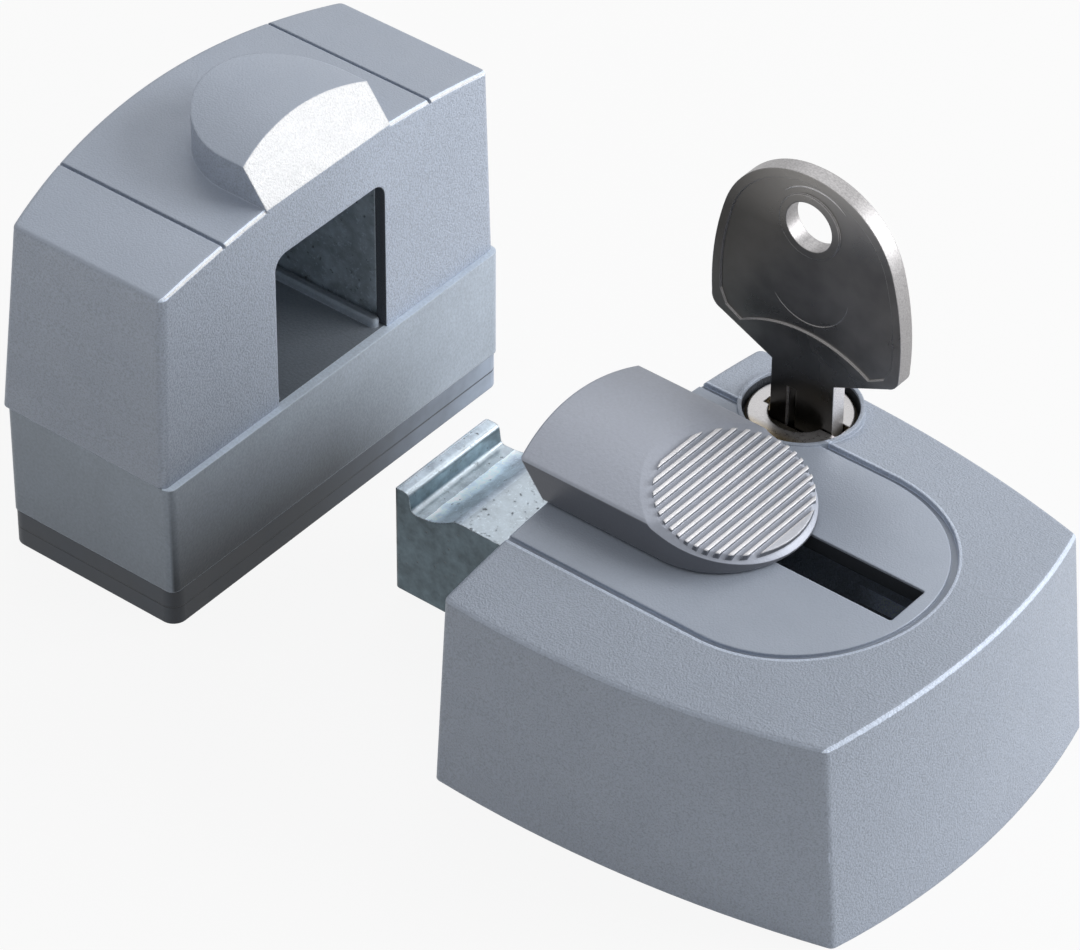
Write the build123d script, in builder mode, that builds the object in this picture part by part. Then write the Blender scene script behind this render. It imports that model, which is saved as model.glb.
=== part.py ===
from build123d import *
import math
import os

os.makedirs("parts", exist_ok=True)

# Rim lock with its keep. X runs along the bolt, from the keep towards the lock, Y is sideways and Z is up.
# Z = 0 is the surface both halves are fixed to. X = 0 is the centre of the lock's four fixing holes.
# Plans of the lock are drawn from its mating face, plans of the keep from the keep's own mating face.

# Distance between the halves, and the reach of cutting shapes
gap = 41.0
beyond = 40.0

# Lock case
case_width = 60.0
case_far_width = 0.8 * case_width
case_depth = 52.2
side_bow = 2.2
end_bow = 4.3
end_bow_low = 3.2
crown_height = 29.5
loft_top = crown_height + 1.5
crown_radius = 156.0
draft_rise = 30.0
face_draft = 1.0
side_draft = 0.9
far_side_draft = 0.4
end_draft = 2.6
case_wall = 2.2
case_front_wall = 2.4
case_roof = 2.5
case_corner = 1.0
edge_round = 0.6

# Smooth panel and its border on the lock's roof
panel_half = case_width / 2 - 11.7
panel_end_x = case_depth - 24.3
panel_drop = 0.25
border_width = 0.9
border_drop = 0.65

# Bolt
bolt_width = 16.7
bolt_low = 1.3
bolt_high = 16.8
bolt_top = 16.3
bolt_behind = 28.2
bolt_travel = case_depth - bolt_behind
bolt_nose = 0.2 - bolt_travel
bolt_tail = case_depth - bolt_travel - 1.0
bolt_clear = 0.1
lip_length = 2.7
lip_drop = 2.6
lip_round = 0.7
groove_round = 0.5
groove_floor = 3.2
groove_end = 7.8
lug_front = 4.0
lug_back = 9.2
lug_out = 12.0
lug_low = 5.0
lug_high = 10.2
rail_low = 10.5
rail_thick = 1.75

# Thumb slide
slide_half = 10.95
slide_front = 0.5
slide_end_x = 17.4
slide_crown_radius = 35.4
slide_crown_height = crown_height + 5.7
slide_lift = 0.3
undercut_rate = 0.75
thumb_rate = 0.25
thumb_level = crown_height + 4.0
rest_x = slide_end_x + 0.5
rest_drop = 0.4
rest_centre = slide_end_x + 1.85
rest_long = slide_half - 2.4
rest_wide = slide_half - 0.75
rest_chamfer = 0.7
rib_pitch = 1.12
rib_count = 15
rib_top = 0.4
rib_base = 0.62
rib_start = 11.27
post_front = 13.35
post_length = 6.0
post_width = 6.2
post_seat = 0.6
post_x = post_front + post_length / 2
slot_width = 6.5
slot_end_clear = 0.15
slot_corner = 0.4
slide_screw_radius = 2.0
slide_screw_head = 3.5
slide_screw_head_low = 5.5
slide_screw_seat = 8.0
slide_screw_bite = 7.9

# Cylinder plug, key and cam
plug_x = 12.5
plug_y = case_width / 2 - 8.3
plug_face = crown_height - 1.8
plug_head_radius = 6.5
plug_head_low = plug_face - 3.1
plug_radius = 6.2
plug_foot = 9.0
plug_clear = 0.05
mouth_radius = 6.9
mouth_floor = plug_face - 1.4
collar_radius = 7.4
collar_top = crown_height - 0.9
barrel_radius = 8.2
dish_radius = 3.9
dish_depth = 1.8
flare_length = 10.6
flare_depth = 1.1
key_width = 8.85
key_x = plug_x + 0.8
key_thick = 2.2
key_clear = 0.15
key_tip = 12.6
key_shoulder = plug_face + 6.8
key_bow_half = 13.3
key_bow_high = 27.7
key_bow_top = key_shoulder + key_bow_high
key_cheek_high = 19.3
key_dome_high = 24.85
key_dome_in = 5.3
key_hole_radius = 3.2
key_hole_high = 20.7
key_hole_z = key_shoulder + key_hole_high
key_border = 1.2
wafer_count = 5
wafer_first = 14.2
wafer_thick = 1.1
wafer_pitch = (plug_head_low - wafer_first - wafer_thick - 0.1) / (wafer_count - 1)
wafer_length = 11.4
wafer_width = 4.4
wafer_clear = 0.1
wafer_ear = 0.8
spring_radius = 0.4
spring_wire = 0.11
spring_pitch = 0.75
spring_length = 2.9
tail_square = 6.0
cam_low = 6.6
cam_high = 8.8
cam_reach = plug_y - bolt_width / 2 - 0.75
cam_width = 4.4
cam_hub_radius = 5.0
washer_thick = 0.6
washer_radius = 3.4
cam_screw_radius = 1.5
cam_screw_head = 2.8
cam_screw_head_high = 1.8
cam_play = 0.1
screw_clear = 0.02

# Base plate and its fastenings
plate_thick = 1.2
plate_clear = 0.15
fixing_radius = 2.25
fixing_first = 8.0
fixing_x = case_depth - 14.2
fixing_y = case_width - 26.0
case_screw_y = case_width / 2 - 5.5
case_screw_z = 5.0
case_screw_radius = 1.5
case_screw_head = 2.7
case_screw_sink = 0.35
case_screw_seat = 1.2
case_screw_length = 6.2
ear_thick = 2.4
ear_width = 5.6
ear_over = 3.4
toe_y = case_far_width / 2 - 11.5
toe_width = 4.0
toe_thick = 1.2
toe_low = 3.95
toe_back = case_depth - 0.9
ledge_low = 1.5
ledge_high = toe_low - plate_clear
detent_x = bolt_tail - 1.8
detent_depth = 0.9
detent_low = 3.5
detent_high = 9.3
leaf_thick = 0.5
leaf_flat_y = -11.2
tab_front = case_depth - 11.2
tab_back = tab_front + 6.0
tab_thick = 1.2
rivet_x = (tab_front + tab_back) / 2
rivet_z = 6.2
rivet_radius = 1.2
rivet_head = 2.0
rivet_head_high = 0.6

# Keep
keep_width = 60.4
keep_depth = 25.3
keep_end_bow = 4.4
keep_back_draft = 2.7
keep_side_draft = 1.2
keep_wall = 2.2
keep_front_wall = 1.5
portal_half = 9.84
portal_height = crown_height - 8.0
portal_corner = 2.0
groove_width = 0.5
groove_depth = 0.5
bump_straight = 6.5

# Riser and spacers under the keep
riser_out = 0.9
riser_depth = 25.5
riser_height = 15.3
spacer_thick = 2.5
spacer_count = 2
keep_rest = riser_height + spacer_count * spacer_thick
rail_rib_y = 9.15
rail_rib_width = 1.3
rail_rib_height = 1.2
rail_rib_x = -11.4
rail_rib_length = 21.2
riser_corner = 1.2
spacer_corner = 1.8
keep_fixing_x = -12.5
keep_fixing_y = keep_width - 22.4

# Bracket inside the keep
cheek_inner = 10.1
cheek_thick = 2.2
bracket_front = -1.8
bracket_back = -23.4
bracket_skin = 1.6
bracket_height = crown_height - 7.2
foot_reach = keep_width / 2 - 4.2
foot_thick = 2.0
foot_length = 18.0
keep_screw_z = 11.0
keep_screw_radius = 1.25
keep_screw_head = 2.6
keep_screw_length = 4.0
keep_boss_radius = 4.5
back_height = 14.0

# Places of the two mating faces
face_x = -fixing_first - fixing_x / 2
keep_x = face_x - gap
keep_y = 1.2


def cross(width, length):
    """Cross recess of a screw."""
    Rectangle(length, width)
    Rectangle(width, length)


def lock_level(z):
    return Plane((face_x, 0, z))


def lock_side(y):
    return Plane((face_x, y, 0), x_dir=(1, 0, 0), z_dir=(0, -1, 0))


def lock_section(x):
    return Plane((face_x + x, 0, 0), x_dir=(0, 1, 0), z_dir=(1, 0, 0))


def keep_level(z):
    return Plane((keep_x, keep_y, keep_rest + z))


def keep_side(y):
    return Plane((keep_x, keep_y + y, keep_rest), x_dir=(1, 0, 0), z_dir=(0, -1, 0))


def keep_section(x):
    return Plane((keep_x + x, keep_y, keep_rest), x_dir=(0, 1, 0), z_dir=(1, 0, 0))


def lock_plan(z, front_inset, inset, corner):
    """Plan of the lock at a height: straight mating edge, bowed sides and a bowed far end."""
    rise = z / draft_rise
    front = face_draft * rise + front_inset
    back = case_depth - end_draft * rise - inset
    half_front = case_width / 2 - side_draft * rise - inset
    half_back = case_far_width / 2 - far_side_draft * rise - inset
    middle = ((front + back) / 2, (half_front + half_back) / 2 + side_bow)
    bow = end_bow_low + (end_bow - end_bow_low) * rise
    with BuildSketch(lock_level(z)) as plan:
        with BuildLine():
            Line((front, half_front), (front, -half_front))
            ThreePointArc((front, -half_front), (middle[0], -middle[1]), (back, -half_back))
            ThreePointArc((back, -half_back), (back + bow, 0), (back, half_back))
            ThreePointArc((back, half_back), middle, (front, half_front))
        make_face()
        fillet(plan.vertices(), corner)
    return plan.sketch


def keep_plan(z, front_inset, inset, corner):
    """Plan of the keep at a height: straight mating edge, straight sides and a bowed back."""
    rise = z / draft_rise
    half = keep_width / 2 - keep_side_draft * rise - inset
    back = -keep_depth + keep_back_draft * rise + inset
    with BuildSketch(keep_level(z)) as plan:
        with BuildLine():
            Polyline((back, -half), (-front_inset, -half), (-front_inset, half), (back, half))
            ThreePointArc((back, half), (back - keep_end_bow, 0), (back, -half))
        make_face()
        fillet(plan.vertices(), corner)
    return plan.sketch


def spacer_plan(plane, corner):
    """Plan shared by the riser and the spacers, with the keep's two fixing holes."""
    half = keep_width / 2
    with BuildSketch(plane) as plan:
        with BuildLine():
            back = riser_out - riser_depth
            Polyline((back, -half), (riser_out, -half), (riser_out, half), (back, half))
            ThreePointArc((back, half), (back - keep_end_bow, 0), (back, -half))
        make_face()
        fillet(plan.vertices(), corner)
        with Locations((keep_fixing_x, -keep_fixing_y / 2), (keep_fixing_x, keep_fixing_y / 2)):
            Circle(fixing_radius, mode=Mode.SUBTRACT)
    return plan.sketch


def crown_drop(radius, y):
    return radius - math.sqrt(radius * radius - y * y)


def over_crown(plane, apex, radius, half, top):
    """Section above a crowned surface, up to a level line."""
    edge = apex - crown_drop(radius, half)
    with BuildSketch(plane) as section:
        with BuildLine():
            ThreePointArc((-half, edge), (0, apex), (half, edge))
            Polyline((half, edge), (half, top), (-half, top), (-half, edge))
        make_face()
    return section.sketch


def panel_plan(grow):
    """U-shaped panel on the lock's roof, open towards the mating face."""
    half = panel_half + grow
    with BuildSketch(lock_level(0)) as plan:
        with BuildLine():
            Polyline((panel_end_x, half), (-beyond, half), (-beyond, -half), (panel_end_x, -half))
            ThreePointArc((panel_end_x, -half), (panel_end_x + half, 0), (panel_end_x, half))
        make_face()
    return plan.sketch


def thumb_plan(plane, front, end_x, half):
    """Straight-sided plan with one half-round end."""
    with BuildSketch(plane) as plan:
        with BuildLine():
            Polyline((end_x, half), (front, half), (front, -half), (end_x, -half))
            away = 1 if end_x > front else -1
            ThreePointArc((end_x, -half), (end_x + away * half, 0), (end_x, half))
        make_face()
    return plan.sketch


# Hollow of the lock case, which leaves the cylinder barrel, the bolt rails and the two ledges standing
with BuildPart() as lock_hollow:
    hollow_foot = lock_plan(-1, case_front_wall, case_wall, case_corner)
    loft([hollow_foot, lock_plan(loft_top, case_front_wall, case_wall, case_corner)])
    roof = over_crown(lock_section(-beyond), crown_height - case_roof, crown_radius, beyond, beyond)
    extrude(roof, amount=3 * beyond, mode=Mode.SUBTRACT)
    with BuildSketch(lock_level(plug_foot)):
        with Locations((plug_x, plug_y)):
            Circle(barrel_radius)
    extrude(amount=beyond, mode=Mode.SUBTRACT)
    with BuildSketch(lock_level(rail_low)):
        for side in (-1, 1):
            with Locations((case_depth / 2, side * (bolt_width / 2 + bolt_clear + rail_thick / 2))):
                Rectangle(2 * beyond, rail_thick)
    extrude(amount=beyond, mode=Mode.SUBTRACT)
    with BuildSketch(lock_level(ledge_low)):
        for side in (-1, 1):
            with Locations((toe_back - 1 + beyond / 2, side * toe_y)):
                Rectangle(beyond, toe_width + 1)
    extrude(amount=ledge_high - ledge_low, mode=Mode.SUBTRACT)

# Sunk panel and border, both following the crown
with BuildPart() as panel_cut:
    sunk = over_crown(lock_section(-beyond), crown_height - panel_drop, crown_radius, beyond, beyond)
    extrude(sunk, amount=3 * beyond)
    extrude(panel_plan(0), amount=2 * beyond, mode=Mode.INTERSECT)

with BuildPart() as border_cut:
    sunk = over_crown(lock_section(-beyond), crown_height - border_drop, crown_radius, beyond, beyond)
    extrude(sunk, amount=3 * beyond)
    extrude(panel_plan(0), amount=2 * beyond, mode=Mode.INTERSECT)
    extrude(panel_plan(-border_width), amount=2 * beyond, mode=Mode.SUBTRACT)

slot_front = post_front - slot_end_clear
slot_back = post_front + post_length + bolt_travel + slot_end_clear

with BuildPart() as lock_case:
    loft([lock_plan(0, 0, 0, case_corner), lock_plan(loft_top, 0, 0, case_corner)])
    crown = over_crown(lock_section(-beyond), crown_height, crown_radius, beyond, beyond)
    extrude(crown, amount=3 * beyond, mode=Mode.SUBTRACT)
    fillet(lock_case.faces().sort_by(Axis.Z)[-1].edges(), edge_round)
    add(panel_cut.part, mode=Mode.SUBTRACT)
    add(border_cut.part, mode=Mode.SUBTRACT)
    with BuildSketch(lock_level(plug_head_low)):
        with Locations((plug_x, plug_y)):
            Circle(collar_radius)
    extrude(amount=collar_top - plug_head_low)
    add(lock_hollow.part, mode=Mode.SUBTRACT)
    with BuildSketch(lock_level(bolt_high + 3)):
        with Locations(((slot_front + slot_back) / 2, 0)):
            RectangleRounded(slot_back - slot_front, slot_width, slot_corner)
    extrude(amount=beyond, mode=Mode.SUBTRACT)
    with BuildSketch(lock_section(-1)):
        with Locations((0, (bolt_high + bolt_clear) / 2 - 0.5)):
            Rectangle(bolt_width + 2 * bolt_clear, bolt_high + bolt_clear + 1)
    extrude(amount=case_front_wall + 2.5, mode=Mode.SUBTRACT)
    with BuildSketch(lock_level(plug_foot - 1)):
        with Locations((plug_x, plug_y)):
            Circle(plug_radius + plug_clear)
    extrude(amount=beyond, mode=Mode.SUBTRACT)
    with BuildSketch(lock_level(plug_head_low)):
        with Locations((plug_x, plug_y)):
            Circle(plug_head_radius + plug_clear)
    extrude(amount=beyond, mode=Mode.SUBTRACT)
    with BuildSketch(lock_level(mouth_floor)):
        with Locations((plug_x, plug_y)):
            Circle(mouth_radius)
    extrude(amount=beyond, mode=Mode.SUBTRACT)
    with BuildSketch(lock_level(wafer_first - wafer_thick)):
        with Locations((plug_x, plug_y)):
            Rectangle(2 * plug_radius + 2.2, wafer_width + 4 * wafer_clear)
    extrude(amount=wafer_pitch * wafer_count, mode=Mode.SUBTRACT)
    with BuildSketch(lock_section(-1)):
        with Locations((-case_screw_y, case_screw_z), (case_screw_y, case_screw_z)):
            Circle(case_screw_radius + 0.2)
    extrude(amount=case_front_wall + 2, mode=Mode.SUBTRACT)
    with BuildSketch(lock_section(-1)):
        with Locations((-case_screw_y, case_screw_z), (case_screw_y, case_screw_z)):
            Circle(case_screw_head + 0.2)
    extrude(amount=case_screw_seat + 1, mode=Mode.SUBTRACT)
lock_case.part.label = "lock_case"
export_step(lock_case.part, "parts/lock_case.step")

# Plate on the sash: the case slides over it, hooks on its two toes and is screwed to its two lugs
with BuildPart() as base_plate:
    inside = lock_plan(0, case_front_wall + plate_clear, case_wall + plate_clear, case_corner)
    extrude(inside, amount=plate_thick)
    with BuildSketch(lock_level(0)):
        with Locations(((case_front_wall + 1) / 2, 0)):
            Rectangle(case_front_wall + 0.6, bolt_width - 0.4)
    extrude(amount=plate_thick)
    ear_x = case_front_wall + face_draft * case_screw_z / draft_rise + plate_clear
    with BuildSketch(lock_level(0)):
        for side in (-1, 1):
            with Locations((ear_x + ear_thick / 2, side * (case_screw_y - 0.3))):
                Rectangle(ear_thick, ear_width)
    extrude(amount=case_screw_z + ear_over)
    with BuildSketch(lock_section(0)):
        with Locations((-case_screw_y, case_screw_z), (case_screw_y, case_screw_z)):
            Circle(case_screw_radius + screw_clear)
    extrude(amount=10, mode=Mode.SUBTRACT)
    for side in (-1, 1):
        with BuildSketch(lock_side(side * toe_y)):
            with BuildLine():
                stem = toe_back - toe_thick
                hook = [(toe_back, toe_low + toe_thick), (toe_back, toe_low), (stem, toe_low), (stem, 0)]
                Polyline((stem - toe_thick, 0), (stem - toe_thick, toe_low + toe_thick), *hook, close=True)
            make_face()
        extrude(amount=toe_width / 2, both=True)
    with BuildSketch(lock_level(0)):
        with Locations((rivet_x, leaf_flat_y - leaf_thick - tab_thick / 2)):
            Rectangle(tab_back - tab_front, tab_thick)
    extrude(amount=detent_high)
    with BuildSketch(lock_side(leaf_flat_y)):
        with Locations((rivet_x, rivet_z)):
            Circle(rivet_radius + screw_clear)
    extrude(amount=4, mode=Mode.SUBTRACT)
    with BuildSketch(Plane.XY):
        with GridLocations(fixing_x, fixing_y, 2, 2):
            Circle(fixing_radius)
    extrude(amount=plate_thick, mode=Mode.SUBTRACT)
base_plate.part.label = "base_plate"
export_step(base_plate.part, "parts/base_plate.step")

# Two screws, heads sunk in the lock's mating face
with BuildPart() as case_screws:
    for side in (-1, 1):
        with BuildSketch(lock_section(case_screw_sink)):
            with Locations((side * case_screw_y, case_screw_z)):
                Circle(case_screw_head)
        extrude(amount=case_screw_seat - case_screw_sink)
        with BuildSketch(lock_section(case_screw_sink)):
            with Locations((side * case_screw_y, case_screw_z)):
                Circle(case_screw_radius)
        extrude(amount=case_screw_length)
        with BuildSketch(lock_section(case_screw_sink)):
            with Locations((side * case_screw_y, case_screw_z)):
                cross(0.7, 1.2 * case_screw_head)
        extrude(amount=0.6, mode=Mode.SUBTRACT)
case_screws.part.label = "case_screws"
export_step(case_screws.part, "parts/case_screws.step")

# Bolt: hooked nose, locking lug on one flank, detent notches on the other
nose_back = bolt_nose + lip_length
with BuildPart() as bolt:
    with BuildSketch(lock_side(0)):
        with BuildLine():
            Line((bolt_tail, bolt_top), (bolt_tail, bolt_low))
            Line((bolt_tail, bolt_low), (bolt_nose, bolt_low))
            Line((bolt_nose, bolt_low), (bolt_nose, bolt_high))
            Line((bolt_nose, bolt_high), (nose_back - 0.4, bolt_high))
            wall_foot = (nose_back - 0.1, bolt_high - lip_drop + groove_round)
            floor_start = (nose_back + groove_round, bolt_high - lip_drop)
            Line((nose_back - 0.4, bolt_high), wall_foot)
            ThreePointArc(wall_foot, (nose_back + 0.12, bolt_high - lip_drop + 0.14), floor_start)
            Spline(
                floor_start,
                (nose_back + groove_floor, bolt_high - lip_drop + 0.25),
                (nose_back + (groove_floor + groove_end) / 2, bolt_top - 0.75),
                (nose_back + groove_end, bolt_top),
                tangents=((1, 0), (1, 0)),
            )
            Line((nose_back + groove_end, bolt_top), (bolt_tail, bolt_top))
        make_face()
    extrude(amount=bolt_width / 2, both=True)
    lip_edges = bolt.edges().filter_by(Axis.Y).group_by(Axis.Z)[-1]
    fillet(lip_edges + bolt.edges().filter_by(Axis.Z).group_by(Axis.X)[0], lip_round)
    chamfer(bolt.edges().filter_by(Axis.X).group_by(Axis.Z)[0], 0.4)
    with BuildSketch(lock_level(lug_low)):
        with Locations(((lug_front + lug_back) / 2, (bolt_width / 2 + lug_out) / 2 - 0.5)):
            Rectangle(lug_back - lug_front, lug_out - bolt_width / 2 + 1)
    extrude(amount=lug_high - lug_low)
    with BuildSketch(lock_level(detent_low - 0.3)):
        for notch_x in (detent_x, detent_x - bolt_travel):
            with BuildLine():
                flank = -bolt_width / 2
                notch = [(notch_x - 1.7, flank), (notch_x, flank + detent_depth), (notch_x + 1.7, flank)]
                Polyline(*notch, (notch_x, flank - 1), close=True)
            make_face()
    extrude(amount=detent_high - detent_low + 0.6, mode=Mode.SUBTRACT)
    with BuildSketch(lock_level(bolt_top - post_seat)):
        with Locations((post_x, 0)):
            Rectangle(post_length + 0.1, post_width + 0.1)
    extrude(amount=post_seat + 1, mode=Mode.SUBTRACT)
    with BuildSketch(lock_level(bolt_low)):
        with Locations((post_x, 0)):
            Circle(slide_screw_radius + 0.2)
    extrude(amount=bolt_high, mode=Mode.SUBTRACT)
    with BuildSketch(lock_level(bolt_low)):
        with Locations((post_x, 0)):
            Circle(slide_screw_head + 0.3)
    extrude(amount=slide_screw_seat - bolt_low, mode=Mode.SUBTRACT)
bolt.part.label = "bolt"
export_step(bolt.part, "parts/bolt.step")

# Thumb slide: crowned bar with an undercut end, a sloping ribbed thumb rest and a post down to the bolt
panel_height = crown_height - panel_drop + slide_lift
slope = Vector(1, -thumb_rate).normalized()
down = Vector(slope.Y, -slope.X)

# Ribs of the thumb rest and the crescent at its far end, kept inside the rest's round outline
with BuildPart() as ribs:
    with BuildSketch(lock_side(0)):
        for row in range(rib_count):
            run = rib_start + row * rib_pitch
            reach = 2 * rib_pitch if row == rib_count - 1 else 0
            tip = Vector(run, thumb_level - thumb_rate * (run - rest_x))
            foot = tip + down * (2 * rest_drop)
            with BuildLine():
                front = [foot - slope * (rib_base / 2), tip - slope * (rib_top / 2)]
                back = [tip + slope * (rib_top / 2 + reach), foot + slope * (rib_base / 2 + reach)]
                Polyline(*front, *back, close=True)
            make_face()
    extrude(amount=slide_half, both=True)
    with BuildSketch(lock_level(0)):
        with Locations((rest_centre, 0)):
            Ellipse(rest_long, rest_wide)
    extrude(amount=2 * beyond, mode=Mode.INTERSECT)

with BuildPart() as thumb_slide:
    extrude(thumb_plan(lock_level(crown_height - 4.5), -beyond / 4, slide_end_x, slide_half), amount=beyond)
    arch = 1.3 * slide_half
    crown = over_crown(lock_section(-beyond), slide_crown_height, slide_crown_radius, arch, 3 * beyond)
    extrude(crown, amount=3 * beyond, mode=Mode.SUBTRACT)
    with BuildSketch(lock_side(0)):
        with BuildLine():
            base = panel_height - crown_drop(crown_radius, slide_half)
            lean = undercut_rate * beyond
            front = [(slide_front + lean, base - beyond), (slide_front - lean, base + beyond)]
            Polyline(*front, (-2 * beyond, base + beyond), (-2 * beyond, base - beyond), close=True)
        make_face()
    extrude(amount=beyond, both=True, mode=Mode.SUBTRACT)
    ridge = thumb_slide.faces().filter_by(GeomType.CYLINDER).group_by(SortBy.RADIUS)[-1].edges()
    fillet(ridge.filter_by(Axis.X), 0.5)
    with BuildSketch(lock_side(0)):
        with BuildLine():
            fall = thumb_rate * beyond
            level = thumb_level - rest_drop
            rest = [(rest_x - beyond, level + fall), (rest_x + beyond, level - fall)]
            Polyline(*rest, (rest_x + beyond, 3 * beyond), (rest_x - beyond, 3 * beyond), close=True)
        make_face()
    extrude(amount=beyond, both=True, mode=Mode.SUBTRACT)
    flats = thumb_slide.faces().filter_by(GeomType.PLANE)
    rest_face = flats.filter_by(lambda face: 0.9 < face.normal_at().Z < 0.99)[0]
    chamfer(rest_face.edges().sort_by(Axis.X)[-1], rest_chamfer)
    add(ribs.part)
    under = over_crown(lock_section(-beyond), panel_height, crown_radius, arch, 0)
    extrude(under, amount=3 * beyond, mode=Mode.SUBTRACT)
    with BuildSketch(lock_level(bolt_top - post_seat)):
        with Locations((post_x, 0)):
            Rectangle(post_length, post_width)
    extrude(amount=panel_height + 1 - bolt_top + post_seat)
    with BuildSketch(lock_level(bolt_top - post_seat)):
        with Locations((post_x, 0)):
            Circle(slide_screw_radius + screw_clear)
    extrude(amount=slide_screw_bite + 1.1, mode=Mode.SUBTRACT)
thumb_slide.part.label = "thumb_slide"
export_step(thumb_slide.part, "parts/thumb_slide.step")

# Screw up through the bolt into the slide's post
with BuildPart() as slide_screw:
    with BuildSketch(lock_level(slide_screw_head_low)):
        with Locations((post_x, 0)):
            Circle(slide_screw_head)
    extrude(amount=slide_screw_seat - slide_screw_head_low)
    with BuildSketch(lock_level(slide_screw_seat)):
        with Locations((post_x, 0)):
            Circle(slide_screw_radius)
    extrude(amount=bolt_top - post_seat + slide_screw_bite - slide_screw_seat)
    with BuildSketch(lock_level(slide_screw_head_low)):
        with Locations((post_x, 0)):
            RegularPolygon(0.85 * slide_screw_radius, 6)
    extrude(amount=1.5, mode=Mode.SUBTRACT)
slide_screw.part.label = "slide_screw"
export_step(slide_screw.part, "parts/slide_screw.step")

# Leaf spring on the plate's tab, its nose in the bolt's notch
with BuildPart() as detent_spring:
    flank = -bolt_width / 2
    nose_y = flank + detent_depth - 0.15
    with BuildSketch(lock_level(detent_low)):
        with BuildLine():
            foot = (tab_back - 0.4, tab_front - 0.6)
            ramp = (detent_x + 1.9, flank - 0.25)
            end = (detent_x - 2.4, flank - 0.5)
            near = [(foot[0], leaf_flat_y), (foot[1], leaf_flat_y), ramp, (detent_x, nose_y), end]
            far = [(x, y - leaf_thick * (1 if x > ramp[0] else 1.25)) for x, y in reversed(near)]
            Polyline(*near, *far, close=True)
        make_face()
    extrude(amount=detent_high - detent_low - 0.3)
    with BuildSketch(lock_side(leaf_flat_y)):
        with Locations((rivet_x, rivet_z)):
            Circle(rivet_radius + screw_clear)
    extrude(amount=2, both=True, mode=Mode.SUBTRACT)
detent_spring.part.label = "detent_spring"
export_step(detent_spring.part, "parts/detent_spring.step")

with BuildPart() as detent_rivet:
    with BuildSketch(lock_side(leaf_flat_y + rivet_head_high)):
        with Locations((rivet_x, rivet_z)):
            Circle(rivet_head)
    extrude(amount=rivet_head_high)
    with BuildSketch(lock_side(leaf_flat_y)):
        with Locations((rivet_x, rivet_z)):
            Circle(rivet_radius)
    extrude(amount=leaf_thick + tab_thick)
    with BuildSketch(lock_side(leaf_flat_y - leaf_thick - tab_thick)):
        with Locations((rivet_x, rivet_z)):
            Circle(rivet_head)
    extrude(amount=rivet_head_high)
detent_rivet.part.label = "detent_rivet"
export_step(detent_rivet.part, "parts/detent_rivet.step")

# Cylinder plug: head, slotted body and square foot
wafer_levels = [wafer_first + row * wafer_pitch for row in range(wafer_count)]
with BuildPart() as cylinder_plug:
    with BuildSketch(lock_level(plug_foot)):
        with Locations((plug_x, plug_y)):
            Circle(plug_radius)
    extrude(amount=plug_head_low - plug_foot)
    with BuildSketch(lock_level(plug_head_low + plug_clear)):
        with Locations((plug_x, plug_y)):
            Circle(plug_head_radius)
    extrude(amount=plug_face - plug_head_low - plug_clear)
    with BuildSketch(lock_level(plug_head_low - 1)):
        with Locations((plug_x, plug_y)):
            Circle(plug_radius)
    extrude(amount=2)
    chamfer(cylinder_plug.faces().sort_by(Axis.Z)[-1].edges(), 0.35)
    with BuildSketch(lock_level(cam_low - cam_play)):
        with Locations((plug_x, plug_y)):
            Rectangle(tail_square, tail_square)
    extrude(amount=plug_foot - cam_low + cam_play)
    with BuildSketch(lock_level(key_tip - 0.6)):
        with Locations((key_x, plug_y)):
            Rectangle(key_width + 2 * key_clear, key_thick + 2 * key_clear)
    extrude(amount=beyond, mode=Mode.SUBTRACT)
    with BuildSketch(lock_level(plug_face - dish_depth)):
        with Locations((plug_x, plug_y)):
            Circle(dish_radius)
    extrude(amount=5, mode=Mode.SUBTRACT)
    with BuildSketch(lock_level(plug_face - flare_depth)):
        with Locations((key_x, plug_y)):
            Rectangle(flare_length, key_thick + 2 * key_clear)
    extrude(amount=5, mode=Mode.SUBTRACT)
    for level in wafer_levels:
        with BuildSketch(lock_level(level - wafer_clear)):
            with Locations((plug_x, plug_y)):
                Rectangle(2 * plug_radius + 2, wafer_width + 2 * wafer_clear)
            with Locations((plug_x + 0.2, plug_y + wafer_width / 2 + 0.7)):
                Rectangle(4.4, 1.5)
        extrude(amount=wafer_thick + 2 * wafer_clear, mode=Mode.SUBTRACT)
    with BuildSketch(lock_level(cam_low - cam_play)):
        with Locations((plug_x, plug_y)):
            Circle(cam_screw_radius + screw_clear)
    extrude(amount=4.4, mode=Mode.SUBTRACT)
cylinder_plug.part.label = "cylinder_plug"
export_step(cylinder_plug.part, "parts/cylinder_plug.step")

# Wafers: flat frames around the key's blade, each with an ear for its spring
with BuildPart() as wafers:
    for level in wafer_levels:
        with BuildSketch(lock_level(level)):
            with Locations((plug_x, plug_y)):
                Rectangle(wafer_length, wafer_width)
            with Locations((plug_x - 1.4, plug_y + wafer_width / 2 + 0.5)):
                Rectangle(wafer_ear, 1.2)
            with Locations((key_x, plug_y)):
                Rectangle(key_width + key_clear, key_thick + key_clear, mode=Mode.SUBTRACT)
        extrude(amount=wafer_thick)
wafers.part.label = "wafers"
export_step(wafers.part, "parts/wafers.step")

# Wafer springs: fine coils lying beside the frames
with BuildPart() as wafer_springs:
    for level in wafer_levels:
        start = (face_x + plug_x - 0.85, plug_y + wafer_width / 2 + 0.75, level + wafer_thick / 2)
        with BuildLine() as coil:
            Helix(spring_pitch, spring_length, spring_radius, center=start, direction=(1, 0, 0))
        with BuildSketch(Plane(coil.line @ 0, z_dir=coil.line % 0)):
            Circle(spring_wire)
        sweep(path=coil.line, is_frenet=True)
wafer_springs.part.label = "wafer_springs"
export_step(wafer_springs.part, "parts/wafer_springs.step")

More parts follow.
